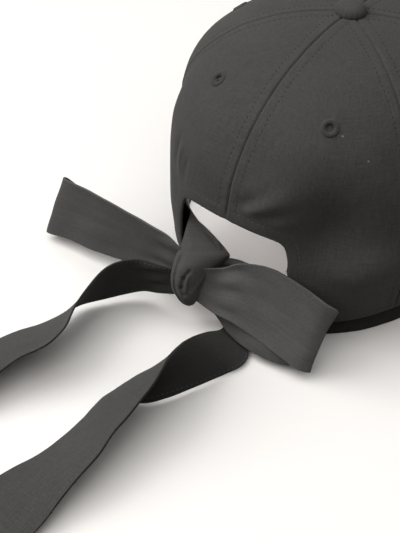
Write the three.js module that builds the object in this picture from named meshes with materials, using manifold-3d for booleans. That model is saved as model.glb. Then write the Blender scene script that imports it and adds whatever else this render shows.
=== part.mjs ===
// A soft six-panel cap whose back opening is closed by a cloth ribbon tied in a bow.
// Millimetres, +Z up. The peak points along -Y, the opening faces +Y, and the origin is the centre of the
// head opening on the surface that the cap rests on.
import * as THREE from 'three';
import { mergeVertices } from 'three/addons/utils/BufferGeometryUtils.js';
import Module from 'manifold-3d';

const wasm = await Module();
wasm.setup();

// Cloth
const CLOTH = 1.2;
const RIBBON = 1.2;
const GAP = 0.35;

// Crown: half width and half length where it is widest, and the side of it as shares of those at each height
const HALF_WIDTH = 90.4;
const HALF_LENGTH = 104;
const PROFILE = [
  { z: 0, reach: 0.945 }, { z: 9, reach: 0.943 }, { z: 20, reach: 0.966 }, { z: 40, reach: 0.989 },
  { z: 60, reach: 0.982 }, { z: 80, reach: 0.96 }, { z: 94, reach: 0.924 }, { z: 110, reach: 0.828 },
  { z: 122, reach: 0.702 }, { z: 131, reach: 0.556 }, { z: 136.3, reach: 0.41 }, { z: 139, reach: 0.28 },
  { z: 140.2, reach: 0.16 }, { z: 140.6, reach: 0 },
];
const HEM_Z = 10.5;
const SIDE_HEM_RISE = 5;
const FRONT_HEM_RISE = 9.5;
const PANEL_PUFF = 1.6;

// Dents and bulges of the slack cloth: where (degrees from the back towards the right, height), how far they
// reach (degrees, mm) and how deep they go (mm, outward positive)
const FOLDS = [
  { around: 33, z: 66, wide: 15, tall: 15, out: -4.5 },
  { around: 29, z: 72, wide: 8.5, tall: 25, out: -9 },
  { around: 38, z: 82, wide: 9, tall: 18, out: -4 },
  { around: 46, z: 50, wide: 16, tall: 12, out: 2.4 },
  { around: 40, z: 28, wide: 16, tall: 14, out: 1.8 },
  { around: 14, z: 88, wide: 6, tall: 9, out: 1.6 },
  { around: -52, z: 84, wide: 6, tall: 18, out: -2.6 },
  { around: -64, z: 70, wide: 9, tall: 16, out: -1.6 },
  { around: -54, z: 46, wide: 26, tall: 38, out: -4.8 },
  { around: -75, z: 108, wide: 22, tall: 14, out: 1.6 },
];

// Panels: the seams either side of each, in degrees from the back towards the right
const PANELS = [
  { name: 'back_right', from: 0, to: 56 },
  { name: 'side_right', from: 56, to: 118 },
  { name: 'front_right', from: 118, to: 180 },
  { name: 'back_left', from: -56, to: 0 },
  { name: 'side_left', from: -118, to: -56 },
  { name: 'front_left', from: -180, to: -118 },
];
const BUTTON_RADIUS = 8.5;
const BUTTON_HOLE = 6;
const EYELET = { z: 121, backAround: 26.8, hole: 1.7, ring: 4.3, proud: 1.3, sides: 12 };

// Back opening: its edge from the middle of its top to the hem (degrees from the back, height)
const OPENING = [
  { around: 0, z: 70.5 }, { around: 9, z: 69.5 }, { around: 14.6, z: 67.6 }, { around: 17.8, z: 64 },
  { around: 19.4, z: 56 }, { around: 20.2, z: 43 }, { around: 21, z: 28 }, { around: 22, z: 11.2 },
];

// The sweatband hangs below the hem, and stands farther out at its lower edge than behind the crown
const BAND = { height: 33, thickness: 1.5, ends: 24, slack: 1.2, lowSlack: 0.2, flare: 9 };
const PEAK = { spread: 64, halfWidth: 80, tip: -168, full: 2.5, thickness: 2.4, drop: 12, settle: 35 };

// Knot: sections of it from its top down (mm), in a frame that is turned to the right and leans back to the tie
const KNOT = {
  centre: [14, 109, 28.4], turn: 38.7, lean: 44, sides: 20,
  sections: [
    { down: -15.6, across: 4.5, half: 0, deep: 0 }, { down: -14.6, across: 4.5, half: 5.5, deep: 3.5 },
    { down: -12.8, across: 4.3, half: 10.8, deep: 6 }, { down: -10, across: 4.4, half: 14.3, deep: 8 },
    { down: -4.5, across: 0.4, half: 11.8, deep: 10.5 }, { down: 1.1, across: -2.4, half: 9.8, deep: 10.5 },
    { down: 6.7, across: -3.9, half: 7.6, deep: 9.5 }, { down: 11.7, across: -3.4, half: 5.2, deep: 7.5 },
    { down: 14.6, across: -2.8, half: 3, deep: 3.8 }, { down: 15.6, across: -2.8, half: 0, deep: 0 },
  ],
};

// Ribbon: each row is a section across it, from its low edge to its high edge, by way of mid where it curls
const RIBBONS = [
  {
    name: 'bow_loop_left', cup: 1.5, rows: [
      { low: [14, 113, 21], high: [17, 107.5, 34.5] }, { low: [30, 112, 18], high: [25, 108.5, 43] },
      { low: [46, 110, 15], high: [35, 110, 48] }, { low: [66, 111, 11], high: [51, 110, 49] },
      { low: [86, 113, 9], high: [71, 109, 48] }, { low: [103, 114, 8], high: [89, 108, 47] },
      { low: [116, 115, 7], high: [106, 107, 46] }, { low: [120, 111, 6], high: [110, 102, 41.5] },
      { low: [113, 106, 5], high: [104, 99, 35] }, { low: [90, 101, 4], high: [80, 98, 33] },
      { low: [62, 99, 6], high: [52, 98, 32] }, { low: [40, 102, 13], high: [34, 102, 34] },
      { low: [26, 106, 20], high: [22, 106, 36] }, { low: [15, 107, 22], high: [12, 107, 36] },
    ],
  },
  {
    name: 'bow_loop_right', cup: -1.5, rows: [
      { low: [8, 115, 19], high: [9, 109, 37] }, { low: [-2, 115, 17], high: [2, 102, 36] },
      { low: [-14, 114, 16], high: [-10, 100, 45] }, { low: [-31, 113, 13], high: [-26, 97, 49] },
      { low: [-46, 113, 10], high: [-45, 96, 47] }, { low: [-57, 112, 7], high: [-60, 97, 45] },
      { low: [-61, 108, 5], high: [-65, 94, 41] }, { low: [-56, 107, 4], high: [-60, 93, 36] },
      { low: [-43.5, 113, 4.5], high: [-45, 96, 32] }, { low: [-27.5, 115, 5], high: [-31, 98, 31] },
      { low: [-10, 112, 5.5], high: [-15, 97, 31] }, { low: [2, 110, 14], high: [-1, 98, 29] },
      { low: [10, 110, 18], high: [10, 104, 31] },
    ],
  },
  {
    name: 'left_tail', cup: 1, rows: [
      { low: [14, 114, 19], high: [17, 112, 31] }, { low: [25, 116, 14], high: [28, 117.5, 34] },
      { low: [41, 118, 8], high: [44, 124, 34] }, { low: [50, 125, 5], high: [50, 136, 34] },
      { low: [57, 134, 4], high: [49, 151, 34] }, { low: [64, 146, 4], high: [45, 166, 33] },
      { low: [66, 161, 5], high: [40, 180, 30] }, { low: [69, 172, 6], high: [41, 191, 27] },
      { low: [74, 182, 7], high: [48, 203, 23] }, { low: [79, 193, 6], high: [52, 213, 19] },
      { low: [85, 215, 4], high: [57, 236, 11] }, { low: [88, 236, 2], high: [60, 258, 3] },
    ],
  },
  {
    name: 'right_tail', cup: 1, strips: 4, rows: [
      { low: [12, 105, 8], high: [14, 108, 16] }, { low: [0, 104, 2], high: [3, 106, 10] },
      { low: [-18, 111, 2], high: [-5, 107, 3.5] }, { low: [-28, 116, 2], high: [-8, 114, 6] },
      { low: [-30, 124, 2], high: [-10, 129, 18] }, { low: [-27, 133, 2], high: [-13, 145, 30] },
      { low: [-23, 143, 2], high: [-15, 155, 35] }, { low: [-18, 155, 2], high: [-17, 165, 37], mid: [-14, 159, 22] },
      { low: [-13, 165, 2], high: [-19, 174, 36], mid: [-9, 168, 22] },
      { low: [-8, 173, 2], high: [-21, 184, 35], mid: [-3, 175, 19] },
      { low: [1, 180, 2], high: [-20, 191, 31], mid: [2, 181, 14] },
      { low: [10, 187, 2], high: [-20, 199, 28], mid: [2, 189, 13] },
      { low: [10, 200, 2], high: [-20, 211, 25] }, { low: [10, 213, 2], high: [-21, 221, 22] },
      { low: [12, 229, 2], high: [-20, 233, 18] }, { low: [16, 242, 2], high: [-19, 244, 13] },
      { low: [19, 254, 2], high: [-19, 254, 9] }, { low: [21, 268, 2], high: [-18, 268, 5] },
      { low: [22, 292, 2], high: [-17, 294, 3] },
    ],
  },
  {
    name: 'left_tie', cup: 0, rows: [
      { low: [62, 50, 4], high: [62, 52, 38] }, { low: [55, 63, 6], high: [53, 66, 41] },
      { low: [45, 73, 8], high: [43, 76, 42] }, { low: [38, 81, 12], high: [33, 85, 43.5] },
      { low: [33, 91, 18], high: [19, 92, 47] }, { low: [31, 98, 30], high: [6.5, 98, 49.5] },
      { low: [27, 103, 33], high: [2.5, 97, 40] }, { low: [20, 106, 34], high: [7, 102, 35] },
    ],
  },
  {
    name: 'right_tie', cup: 0, rows: [
      { low: [-45, 73, 8], high: [-44, 75, 36] }, { low: [-38, 79, 11], high: [-36, 80, 36] },
      { low: [-28, 86, 14], high: [-26, 86, 36] }, { low: [-12, 90, 17], high: [-10, 90, 36] },
      { low: [2, 95, 20], high: [3, 94, 36] }, { low: [10, 101, 23], high: [10, 99, 35] },
      { low: [14, 104, 25], high: [14, 102, 34] },
    ],
  },
];

const charcoal = { color: 0x2e2d2e, roughness: 0.92, metalness: 0 };
const MATERIALS = {
  crown: charcoal,
  stitching: { color: 0x2a292a, roughness: 0.8, metalness: 0 },
  lining: { color: 0x1f1f20, roughness: 0.9, metalness: 0 },
  ribbon: { color: 0x343233, roughness: 0.88, metalness: 0 },
};

const lerp = THREE.MathUtils.lerp;
const radians = THREE.MathUtils.degToRad;

const side = new THREE.SplineCurve(PROFILE.map(({ z, reach }) => new THREE.Vector2(reach * HALF_LENGTH, z)));
const SIDE_STEPS = 400;
const sidePoints = side.getSpacedPoints(SIDE_STEPS);

// Share of the way up the side of the crown at which a height is reached
function wayUp(z) {
  const i = Math.max(1, sidePoints.findIndex((p) => p.y >= z));
  const below = sidePoints[i - 1];
  return (i - 1 + (z - below.y) / (sidePoints[i].y - below.y)) / SIDE_STEPS;
}

// Share of the way up the side at which it has closed to a radius
function wayIn(radius) {
  return sidePoints.findLastIndex((p) => p.x >= radius) / SIDE_STEPS;
}

function frontness(around) {
  return Math.max(0, -Math.cos(radians(around))) ** 2;
}

function hemZ(around) {
  return HEM_Z + SIDE_HEM_RISE * Math.sin(radians(around)) ** 2 + FRONT_HEM_RISE * frontness(around);
}

// The cloth between two seams puffs out a little, most at mid height
function puff(around, rise) {
  const turn = THREE.MathUtils.euclideanModulo(around + 180, 360) - 180;
  const panel = PANELS.find(({ from, to }) => turn >= from && turn <= to);
  const across = (turn - panel.from) / (panel.to - panel.from);
  return PANEL_PUFF * Math.sin(Math.PI * across) * Math.sin(Math.PI * Math.min(1, rise));
}

// A point of the crown: degrees round from the back towards the right, and the share of the way up its side
function crownPoint(around, rise) {
  const { x: reach, y: z } = side.getPointAt(THREE.MathUtils.clamp(rise, 0, 1));
  const angle = radians(around);
  const oval = 1 / Math.hypot(Math.sin(angle) / HALF_WIDTH, Math.cos(angle) / HALF_LENGTH);
  let radius = (reach / HALF_LENGTH) * oval + puff(around, rise);
  for (const fold of FOLDS) {
    const off = Math.hypot((around - fold.around) / fold.wide, (z - fold.z) / fold.tall);
    radius += fold.out * Math.exp(-off * off);
  }
  return new THREE.Vector3(-radius * Math.sin(angle), radius * Math.cos(angle), z);
}

function crownNormal(around, rise) {
  const across = crownPoint(around + 0.5, rise).sub(crownPoint(around - 0.5, rise));
  const up = crownPoint(around, rise + 0.002).sub(crownPoint(around, rise - 0.002));
  return across.cross(up).normalize();
}

// A solid from a geometry, with its triangles facing out
function solid(geometry) {
  const bare = geometry.clone();
  bare.deleteAttribute('normal');
  bare.deleteAttribute('uv');
  const merged = mergeVertices(bare, 1e-4);
  const points = merged.attributes.position;
  const corners = Array.from(merged.index.array);
  let volume = 0;
  const [a, b, c] = [new THREE.Vector3(), new THREE.Vector3(), new THREE.Vector3()];
  for (let i = 0; i < corners.length; i += 3) {
    [a, b, c].forEach((p, k) => p.fromBufferAttribute(points, corners[i + k]));
    volume += a.dot(b.cross(c));
  }
  if (volume < 0) corners.reverse();
  const mesh = new wasm.Mesh({
    numProp: 3,
    vertProperties: new Float32Array(points.array),
    triVerts: new Uint32Array(corners),
  });
  return new wasm.Manifold(mesh);
}

function geometryOf(body) {
  const mesh = body.getMesh();
  const geometry = new THREE.BufferGeometry();
  geometry.setAttribute('position', new THREE.BufferAttribute(mesh.vertProperties, 3));
  geometry.setIndex(new THREE.BufferAttribute(mesh.triVerts, 1));
  geometry.computeVertexNormals();
  return geometry;
}

// A box bent into a wall: place(u, v, w) gives the point for shares across, along and through it
function wall(across, along, place) {
  const geometry = new THREE.BoxGeometry(1, 1, 1, across, along, 1);
  const points = geometry.attributes.position;
  for (let i = 0; i < points.count; i++) {
    const p = place(points.getX(i) + 0.5, points.getY(i) + 0.5, points.getZ(i) + 0.5);
    points.setXYZ(i, p.x, p.y, p.z);
  }
  return geometry;
}

// The lower edge of a panel as degrees round and height, at a share of the way across it
const archEdge = new THREE.SplineCurve(OPENING.map(({ around, z }) => new THREE.Vector2(around * 1.75, z)));
const ARCH_SHARE = 0.6;

function lowerEdge(panel, u) {
  const mirrored = panel.to <= 0;
  const share = mirrored ? 1 - u : u;
  const [from, to] = mirrored ? [-panel.to, -panel.from] : [panel.from, panel.to];
  let edge;
  if (from > 0) {
    const around = lerp(from, to, share);
    edge = { around, z: hemZ(around) };
  } else if (share <= ARCH_SHARE) {
    const p = archEdge.getPointAt(share / ARCH_SHARE);
    edge = { around: p.x / 1.75, z: p.y };
  } else {
    const corner = OPENING[OPENING.length - 1].around;
    const around = lerp(corner, to, (share - ARCH_SHARE) / (1 - ARCH_SHARE));
    edge = { around, z: hemZ(around) };
  }
  return mirrored ? { around: -edge.around, z: edge.z } : edge;
}

function panelWall(panel, across, along) {
  const top = wayIn(BUTTON_HOLE);
  return wall(across, along, (u, v, w) => {
    const edge = lowerEdge(panel, u);
    const rise = lerp(wayUp(edge.z), top, v);
    const wanted = lerp(edge.around, lerp(panel.from, panel.to, u), v);
    const rim = crownPoint(wanted, rise);
    const margin = THREE.MathUtils.radToDeg(Math.asin(GAP / 2 / Math.hypot(rim.x, rim.y)));
    const share = (wanted - panel.from) / (panel.to - panel.from);
    const around = lerp(panel.from + margin, panel.to - margin, share);
    return crownPoint(around, rise).addScaledVector(crownNormal(around, rise), -CLOTH * (1 - w));
  });
}

// A ring of thread round a hole through the cloth, a little proud of it on both sides
function eyeletRing() {
  const { hole, ring, proud } = EYELET;
  const profile = [
    [hole, -proud], [ring, -proud], [ring, proud - 0.6], [ring - 0.8, proud], [hole + 0.6, proud],
    [hole, proud - 0.5], [hole, -proud],
  ];
  return new THREE.LatheGeometry(profile.map(([x, y]) => new THREE.Vector2(x, y)), EYELET.sides);
}

function onCrown(geometry, around, z) {
  const rise = wayUp(z);
  const normal = crownNormal(around, rise);
  const turn = new THREE.Quaternion().setFromUnitVectors(new THREE.Vector3(0, 1, 0), normal);
  const place = crownPoint(around, rise).addScaledVector(normal, -CLOTH / 2);
  return geometry.clone().applyQuaternion(turn).translate(place.x, place.y, place.z);
}

function topButton() {
  const top = PROFILE[PROFILE.length - 1].z;
  const profile = [
    [0, -2.5], [BUTTON_HOLE - 1.2, -2.5], [BUTTON_HOLE - 1.2, GAP], [BUTTON_RADIUS, GAP], [BUTTON_RADIUS, 1.6],
    [7.4, 3.2], [5, 4.5], [2.4, 5.1], [0, 5.3],
  ];
  const dome = new THREE.LatheGeometry(profile.map(([x, y]) => new THREE.Vector2(x, y)), 28);
  return dome.rotateX(Math.PI / 2).translate(0, 0, top);
}

function peakWall() {
  const { spread, halfWidth, tip, full, thickness, drop, settle } = PEAK;
  const end = crownPoint(180 - spread, 0);
  return wall(24, 6, (u, v, w) => {
    const share = 2 * u - 1;
    const around = 180 - share * spread;
    const hem = hemZ(around);
    const root = crownPoint(around, wayUp(hem));
    root.addScaledVector(new THREE.Vector3(root.x, root.y, 0).normalize(), -CLOTH).setZ(hem - GAP);
    const angle = (share * Math.PI) / 2;
    const wide = Math.sign(share) * Math.abs(Math.sin(angle)) ** (2 / full);
    const forward = Math.max(0, Math.cos(angle)) ** (2 / full);
    const edge = new THREE.Vector3(-halfWidth * wide, lerp(end.y, tip, forward), root.z);
    const p = root.clone().lerp(edge, v);
    const away = Math.min(1, p.distanceTo(root) / settle);
    const z = root.z - drop * (p.x / halfWidth) ** 2 * away - 3 * v * v;
    return p.setZ(z - thickness * (1 - w));
  });
}

function bandWall() {
  return wall(36, 3, (u, v, w) => {
    const around = lerp(BAND.ends, 360 - BAND.ends, u);
    const z = v * BAND.height;
    const p = crownPoint(around > 180 ? around - 360 : around, wayUp(Math.max(z, 0.01)));
    const slack = lerp(BAND.lowSlack, BAND.slack, Math.min(1, z / BAND.flare));
    const inward = -CLOTH - slack - BAND.thickness * (1 - w);
    return p.addScaledVector(new THREE.Vector3(p.x, p.y, 0).normalize(), inward).setZ(z);
  });
}

// The knot: its sections are ovals in its own frame, whose axes are across it, up it and out of its face
function knotBody(grow = 0) {
  const { centre, sides, sections } = KNOT;
  const turn = radians(KNOT.turn);
  const lean = radians(KNOT.lean);
  const right = new THREE.Vector3(-Math.cos(turn), -Math.sin(turn), 0);
  const out = new THREE.Vector3(-Math.sin(turn) * Math.cos(lean), Math.cos(turn) * Math.cos(lean), Math.sin(lean));
  const frame = new THREE.Matrix4().makeBasis(right, out.clone().cross(right), out).setPosition(...centre);
  const geometry = new THREE.SphereGeometry(1, sides, sections.length - 1);
  const points = geometry.attributes.position;
  for (let i = 0; i < points.count; i++) {
    const row = Math.floor(i / (sides + 1));
    const { down, across, half, deep } = sections[row];
    const angle = (2 * Math.PI * (i % (sides + 1))) / sides;
    const end = row === 0 ? -1 : Number(row === sections.length - 1);
    const room = end ? 0 : grow;
    points.setXYZ(i, across - (half + room) * Math.cos(angle), -down - end * grow, (deep + room) * Math.sin(angle));
  }
  return geometry.applyMatrix4(frame);
}

function ribbonWall({ rows, cup, strips = 3 }) {
  const between = ({ low, high }) => low.map((value, i) => (value + high[i]) / 2);
  const run = (points) => new THREE.CatmullRomCurve3(points.map((p) => new THREE.Vector3(...p)));
  const low = run(rows.map((row) => row.low));
  const mid = run(rows.map((row) => row.mid ?? between(row)));
  const high = run(rows.map((row) => row.high));
  const surface = (v, u) => low.getPoint(v).multiplyScalar((1 - u) * (1 - 2 * u))
    .addScaledVector(mid.getPoint(v), 4 * u * (1 - u)).addScaledVector(high.getPoint(v), u * (2 * u - 1));
  return wall(strips, (rows.length - 1) * 3, (u, v, w) => {
    const across = surface(v, Math.min(1, u + 0.1)).sub(surface(v, Math.max(0, u - 0.1)));
    const along = surface(Math.min(1, v + 0.01), u).sub(surface(Math.max(0, v - 0.01), u));
    const normal = along.cross(across).normalize();
    return surface(v, u).addScaledVector(normal, cup * 4 * u * (1 - u) + RIBBON * (w - 0.5));
  });
}

const cap = new THREE.Group();

function add(name, geometry, material) {
  const mesh = new THREE.Mesh(geometry, new THREE.MeshStandardMaterial(MATERIALS[material]));
  mesh.name = name;
  cap.add(mesh);
}

for (const panel of PANELS) {
  const back = panel.from === 0 || panel.to === 0;
  const middle = back ? Math.sign(panel.from + panel.to) * EYELET.backAround : (panel.from + panel.to) / 2;
  const hole = solid(onCrown(new THREE.CylinderGeometry(EYELET.ring + GAP, EYELET.ring + GAP, 8, EYELET.sides), middle, EYELET.z));
  const cloth = solid(panelWall(panel, back ? 20 : 10, 12)).subtract(hole);
  add(`${panel.name}_panel`, geometryOf(cloth), 'crown');
  add(`eyelet_${panel.name}`, geometryOf(solid(onCrown(eyeletRing(), middle, EYELET.z))), 'stitching');
}
add('top_button', geometryOf(solid(topButton())), 'crown');
add('peak', geometryOf(solid(peakWall())), 'crown');
add('sweatband', geometryOf(solid(bandWall())), 'lining');
add('bow_knot', geometryOf(solid(knotBody())), 'ribbon');
const knotRoom = solid(knotBody(GAP + 0.3));
for (const ribbon of RIBBONS) {
  add(ribbon.name, geometryOf(solid(ribbonWall(ribbon)).subtract(knotRoom)), 'ribbon');
}

export default cap;
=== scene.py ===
"""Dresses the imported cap: sewn panels, stitching, eyelets, peak, sweatband and a ribbon tied in a bow."""

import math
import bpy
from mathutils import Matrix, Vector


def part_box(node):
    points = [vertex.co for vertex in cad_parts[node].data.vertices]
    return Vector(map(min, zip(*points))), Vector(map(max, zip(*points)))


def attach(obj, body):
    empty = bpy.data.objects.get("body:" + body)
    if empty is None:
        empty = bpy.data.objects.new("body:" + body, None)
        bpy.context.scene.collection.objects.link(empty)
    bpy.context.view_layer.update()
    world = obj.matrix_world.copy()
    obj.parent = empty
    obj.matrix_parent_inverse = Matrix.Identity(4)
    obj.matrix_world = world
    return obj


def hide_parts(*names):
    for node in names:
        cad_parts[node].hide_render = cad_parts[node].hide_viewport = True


bl_info = {
    "name": "Ribbon Cap",
    "version": (1, 0, 0),
    "blender": (4, 5, 0),
    "location": "View3D > Sidebar > Cap",
    "description": "Builds a soft panelled cap whose back opening is tied with a cloth ribbon",
    "category": "Add Mesh",
}

from typing import NamedTuple

import bmesh
import bpy
from bpy.props import FloatProperty, FloatVectorProperty, PointerProperty
from mathutils import Matrix, Vector, noise
from mathutils.bvhtree import BVHTree
from mathutils.kdtree import KDTree

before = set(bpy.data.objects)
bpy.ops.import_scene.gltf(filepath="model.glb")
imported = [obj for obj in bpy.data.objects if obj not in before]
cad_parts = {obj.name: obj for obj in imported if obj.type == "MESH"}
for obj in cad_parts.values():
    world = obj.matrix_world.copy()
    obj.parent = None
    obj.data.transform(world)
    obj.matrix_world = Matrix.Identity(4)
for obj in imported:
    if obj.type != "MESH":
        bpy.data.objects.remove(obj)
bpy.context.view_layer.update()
BODY = "root"
MM = 0.001


class Level(NamedTuple):
    """A height of the crown's side in mm, and how far out it is there as a share of the widest."""

    z: float
    reach: float


class Fold(NamedTuple):
    """A dent or bulge: degrees from the back towards the right, height, reach both ways, and depth."""

    around: float
    z: float
    wide: float
    tall: float
    out: float


class Crease(NamedTuple):
    """A narrow ridge or valley between two places (degrees, mm), its half width and its height in mm."""

    around: float
    z: float
    to_around: float
    to_z: float
    wide: float
    out: float


class Gore(NamedTuple):
    """A panel of the crown and the seams either side of it, in degrees from the back towards the right."""

    name: str
    start: float
    end: float


class Oval(NamedTuple):
    """A section of the knot in mm: how far down, its middle, half width, depth, how far out and slant."""

    down: float
    across: float
    half: float
    deep: float
    out: float
    skew: float


class Lamp(NamedTuple):
    """An area light: where it is and what it points at in metres, its size, power in watts and colour."""

    name: str
    place: tuple
    aim: tuple
    size: float
    power: float
    colour: tuple


class Section(NamedTuple):
    """A section across the ribbon in mm, from low edge to high edge, by way of mid where it curls."""

    low: tuple
    high: tuple
    mid: tuple = None


PROFILE = (
    Level(0, 0.945), Level(9, 0.943), Level(20, 0.966), Level(40, 0.989), Level(60, 0.982), Level(80, 0.96),
    Level(94, 0.924), Level(110, 0.828), Level(122, 0.702), Level(131, 0.556), Level(136.3, 0.41),
    Level(139, 0.28), Level(140.2, 0.16), Level(140.6, 0),
)
FOLDS = (
    Fold(33, 66, 15, 15, -4.5), Fold(29, 72, 8.5, 25, -9), Fold(38, 82, 9, 18, -4),
    Fold(46, 50, 16, 12, 2.4), Fold(40, 28, 16, 14, 1.8), Fold(14, 88, 6, 9, 1.6),
    Fold(-52, 84, 6, 18, -2.6), Fold(-64, 70, 9, 16, -1.6), Fold(-54, 46, 26, 38, -4.8),
    Fold(-75, 108, 22, 14, 1.6),
)
# Slighter than the folds, and left out of the solids
DENTS = (Fold(-24, 68, 6, 7, -1.2), Fold(44, 52, 14, 9, 2.2))
CREASES = (
    Crease(6, 80, 18, 93.5, 2.4, 3), Crease(3, 82, 16, 97, 2.4, -1.1),
    Crease(11, 80.5, 24, 85.5, 2.4, -1.6), Crease(14, 77, 26, 80, 2.4, 0.7),
    Crease(-22.7, 92, -23.5, 72, 1.6, 0.9),
    Crease(-26, 94, -26, 74, 1.5, -1.2), Crease(-18.5, 88, -19.5, 72, 1.5, -0.8),
    Crease(-19, 68, -30, 60, 2.2, 0.7), Crease(29, 53, 54, 37, 4, 1.2),
)
GORES = (
    Gore("back_right", 0, 56), Gore("side_right", 56, 118), Gore("front_right", 118, 180),
    Gore("back_left", -56, 0), Gore("side_left", -118, -56), Gore("front_left", -180, -118),
)
# The right half of the back opening's edge: degrees from the back and height in mm
OPENING = ((0, 70.5), (9, 69.5), (14.6, 67.6), (17.8, 64), (19.4, 56), (20.2, 43), (21, 28), (22, 11.2))
RIBBONS = {
    "bow_loop_left": (
        Section((14, 113, 21), (17, 107.5, 34.5)), Section((30, 112, 18), (25, 108.5, 43)),
        Section((46, 110, 15), (35, 110, 48)), Section((66, 111, 11), (51, 110, 49)),
        Section((86, 113, 9), (71, 109, 48)), Section((103, 114, 8), (89, 108, 47)),
        Section((119, 115, 5), (109, 107, 45), (115.6, 111.6, 24.8)),
        Section((119.7, 112.6, 4.8), (109.8, 104.4, 43.5), (116.3, 109.2, 24)),
        Section((113, 106, 5), (104, 99, 35)), Section((90, 101, 4), (80, 98, 33)),
        Section((62, 99, 6), (52, 98, 32)), Section((40, 102, 13), (34, 102, 34)),
        Section((26, 106, 20), (22, 106, 36)), Section((15, 107, 22), (12, 107, 36)),
    ),
    "bow_loop_right": (
        Section((8, 115, 19), (9, 109, 37)), Section((-2, 115, 17), (2, 102, 36)),
        Section((-14, 114, 16), (-10, 100, 45)), Section((-31, 113, 13), (-26, 97, 49)),
        Section((-46, 113, 10), (-45, 96, 47)), Section((-57, 112, 7), (-60, 97, 45)),
        Section((-61, 108, 5), (-65, 94, 41)), Section((-56, 107, 4), (-60, 93, 36)),
        Section((-43.5, 113, 4.5), (-45, 96, 32)), Section((-27.5, 115, 5), (-31, 98, 31)),
        Section((-10, 112, 5.5), (-15, 97, 31)), Section((2, 110, 14), (-1, 98, 29)),
        Section((10, 110, 18), (10, 104, 31)),
    ),
    "left_tail": (
        Section((14, 114, 19), (17, 112, 31)), Section((25, 116, 14), (28, 117.5, 34)),
        Section((41, 118, 8), (44, 124, 34)), Section((50, 125, 5), (50, 136, 34)),
        Section((57, 134, 4), (49, 151, 34)), Section((64, 146, 4), (45, 166, 33)),
        Section((66, 161, 5), (40, 180, 30)), Section((69, 172, 6), (41, 191, 27)),
        Section((74, 182, 7), (48, 203, 23)), Section((79, 193, 6), (52, 213, 19)),
        Section((85, 215, 4), (57, 236, 11)), Section((88, 236, 2), (60, 258, 3)),
    ),
    "right_tail": (
        Section((12, 105, 8), (14, 108, 16)), Section((0, 104, 2), (3, 106, 10)),
        Section((-18, 111, 2), (-5, 107, 3.5)), Section((-28, 116, 2), (-8, 114, 6)),
        Section((-30, 124, 2), (-10, 129, 18)), Section((-27, 133, 2), (-13, 145, 30)),
        Section((-23, 143, 2), (-15, 155, 35)),
        Section((-18, 155, 2), (-17, 165, 37), (-14, 159, 22)),
        Section((-13, 165, 2), (-19, 174, 36), (-9, 168, 22)),
        Section((-8, 173, 2), (-21, 184, 35), (-3, 175, 19)),
        Section((1, 180, 2), (-20, 191, 31), (2, 181, 14)),
        Section((10, 187, 2), (-20, 199, 28), (2, 189, 13)),
        Section((10, 200, 2), (-20, 211, 25)), Section((10, 213, 2), (-21, 221, 22)),
        Section((12, 229, 2), (-20, 233, 18)), Section((16, 242, 2), (-19, 244, 13)),
        Section((19, 254, 2), (-19, 254, 9)), Section((21, 268, 2), (-18, 268, 5)),
        Section((22, 292, 2), (-17, 294, 3)),
    ),
    "left_tie": (
        Section((63.6, 51.3, 4), (63.6, 53.3, 38)), Section((56.6, 64.8, 6), (54.4, 67.8, 41)),
        Section((46.3, 75, 8), (44.2, 78, 42)), Section((38, 81, 12), (33, 85, 43)),
        Section((33, 91, 18), (21, 90, 44)), Section((31, 97, 28), (11, 92, 42)),
        Section((27, 102, 31), (6, 96, 37)), Section((20, 106, 34), (9, 101, 33)),
    ),
    "right_tie": (
        Section((-45, 73, 8), (-44, 75, 36)), Section((-38, 79, 11), (-36, 80, 36)),
        Section((-28, 86, 14), (-26, 86, 36)), Section((-12, 90, 17), (-10, 90, 36)),
        Section((2, 95, 20), (3, 94, 36)), Section((10, 101, 23), (10, 99, 35)),
        Section((14, 104, 25), (14, 102, 34)),
    ),
}
KNOT = (
    Oval(-34, -1.6, 0.4, 0.5, -8, 0), Oval(-29.5, -0.4, 2.8, 1.2, -6, -0.5),
    Oval(-26, 1.0, 5.2, 1.8, -4.5, -1), Oval(-19, 3.4, 9.5, 3.6, -2.5, -2),
    Oval(-14, 4.4, 12.6, 6.0, -1, -2.5), Oval(-10, 4.4, 14.3, 8.0, 0, -3),
    Oval(-4.5, 0.4, 11.8, 10.5, 0, -4), Oval(1.1, -2.4, 9.8, 10.5, 0, -4),
    Oval(6.7, -3.9, 7.6, 9.5, 0, -3), Oval(11.7, -3.4, 5.2, 7.5, 0, -2),
    Oval(14.6, -2.8, 3.0, 3.8, 0, -1), Oval(15.8, -2.8, 0.2, 0.2, 0, 0),
)
# Folds of the knot's face, placed by mm across and down it instead of degrees and height
KNOT_FOLDS = (
    Crease(-2.3, -2.5, -5.2, 1.2, 0.8, -1.5), Crease(-5.2, 1.2, -6.6, 6, 0.9, -1.6),
    Crease(-6.6, 6, -5.4, 10, 0.8, -1.2), Crease(-3.4, 0.5, -4.6, 8, 1.1, 0.8),
    Crease(-0.6, -16, -4.4, -24, 1.6, 0.7), Crease(8, -2, -1, 9, 1.2, 0.5),
)

CAP_MIDDLE = (0.02, 0.06, 0.03)
# The last two light the floor inside the crown, which shows through the opening
LAMPS = (
    Lamp("ceiling", (0.3, 0.02, 1.45), CAP_MIDDLE, 1.5, 35, (1, 1, 0.99)),
    Lamp("window", (1.15, 0.72, 1.25), CAP_MIDDLE, 1.5, 65, (1, 0.985, 0.965)),
    Lamp("room", (-0.1, 1.2, 1.25), CAP_MIDDLE, 1.0, 18, (1, 0.97, 0.95)),
    Lamp("wall", (-0.8, 0.2, 1.3), CAP_MIDDLE, 1.0, 12, (1, 0.97, 0.95)),
    Lamp("hollow", (0.022, 0.047, 0.07), (0.022, 0.047, 0), 0.04, 0.053, (1, 0.95, 0.94)),
    Lamp("corner", (0.066, 0.04, 0.032), (0.066, 0.04, 0), 0.02, 0.021, (1, 0.98, 0.96)),
)
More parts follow.
